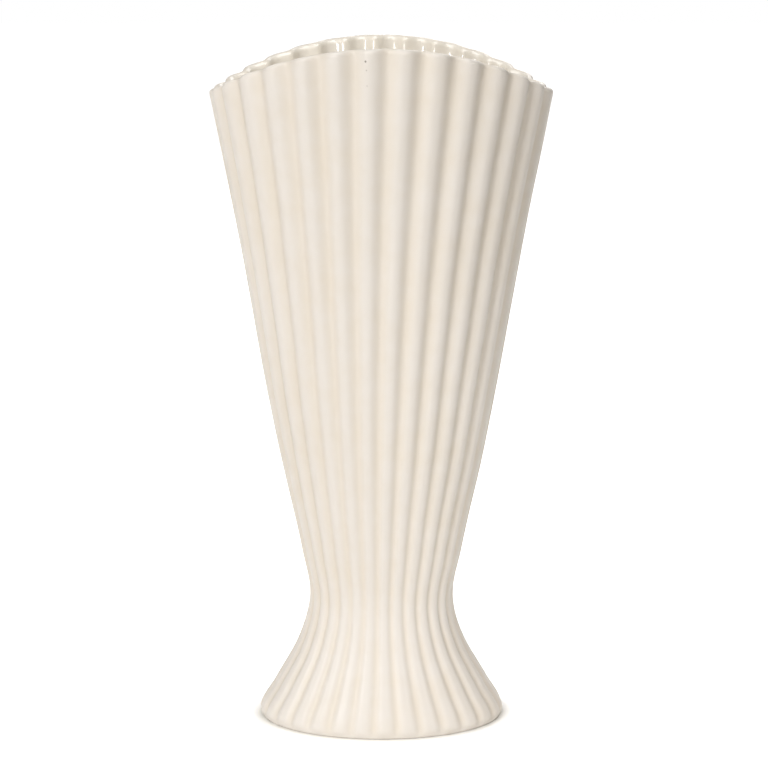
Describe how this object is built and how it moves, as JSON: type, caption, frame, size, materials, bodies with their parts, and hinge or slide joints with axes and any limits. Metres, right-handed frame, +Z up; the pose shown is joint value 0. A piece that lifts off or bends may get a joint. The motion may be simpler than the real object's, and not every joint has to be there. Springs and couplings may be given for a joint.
{
  "type": "fan vase",
  "caption": "Tall oval fluted vase with an arched rim, tapering to a narrow waist over a flared fluted foot, for cut flowers or display.",
  "frame": {"origin": "middle of the standing ring, on the surface that the vase stands on", "axes": "+Z up through the mouth, +X along the long axis of the oval mouth, -Y towards the front"},
  "size_m": [0.1456, 0.1076, 0.3],
  "materials": {
    "cream_glaze": "glossy cream glaze over fluted earthenware",
    "fired_slip": "fired clay slip, glazed over where it meets the outside"
  },
  "bodies": {
    "root": {"fan_body": "cream_glaze", "luting_slip": "fired_slip", "pedestal_foot": "cream_glaze"}
  },
  "joints": []
}
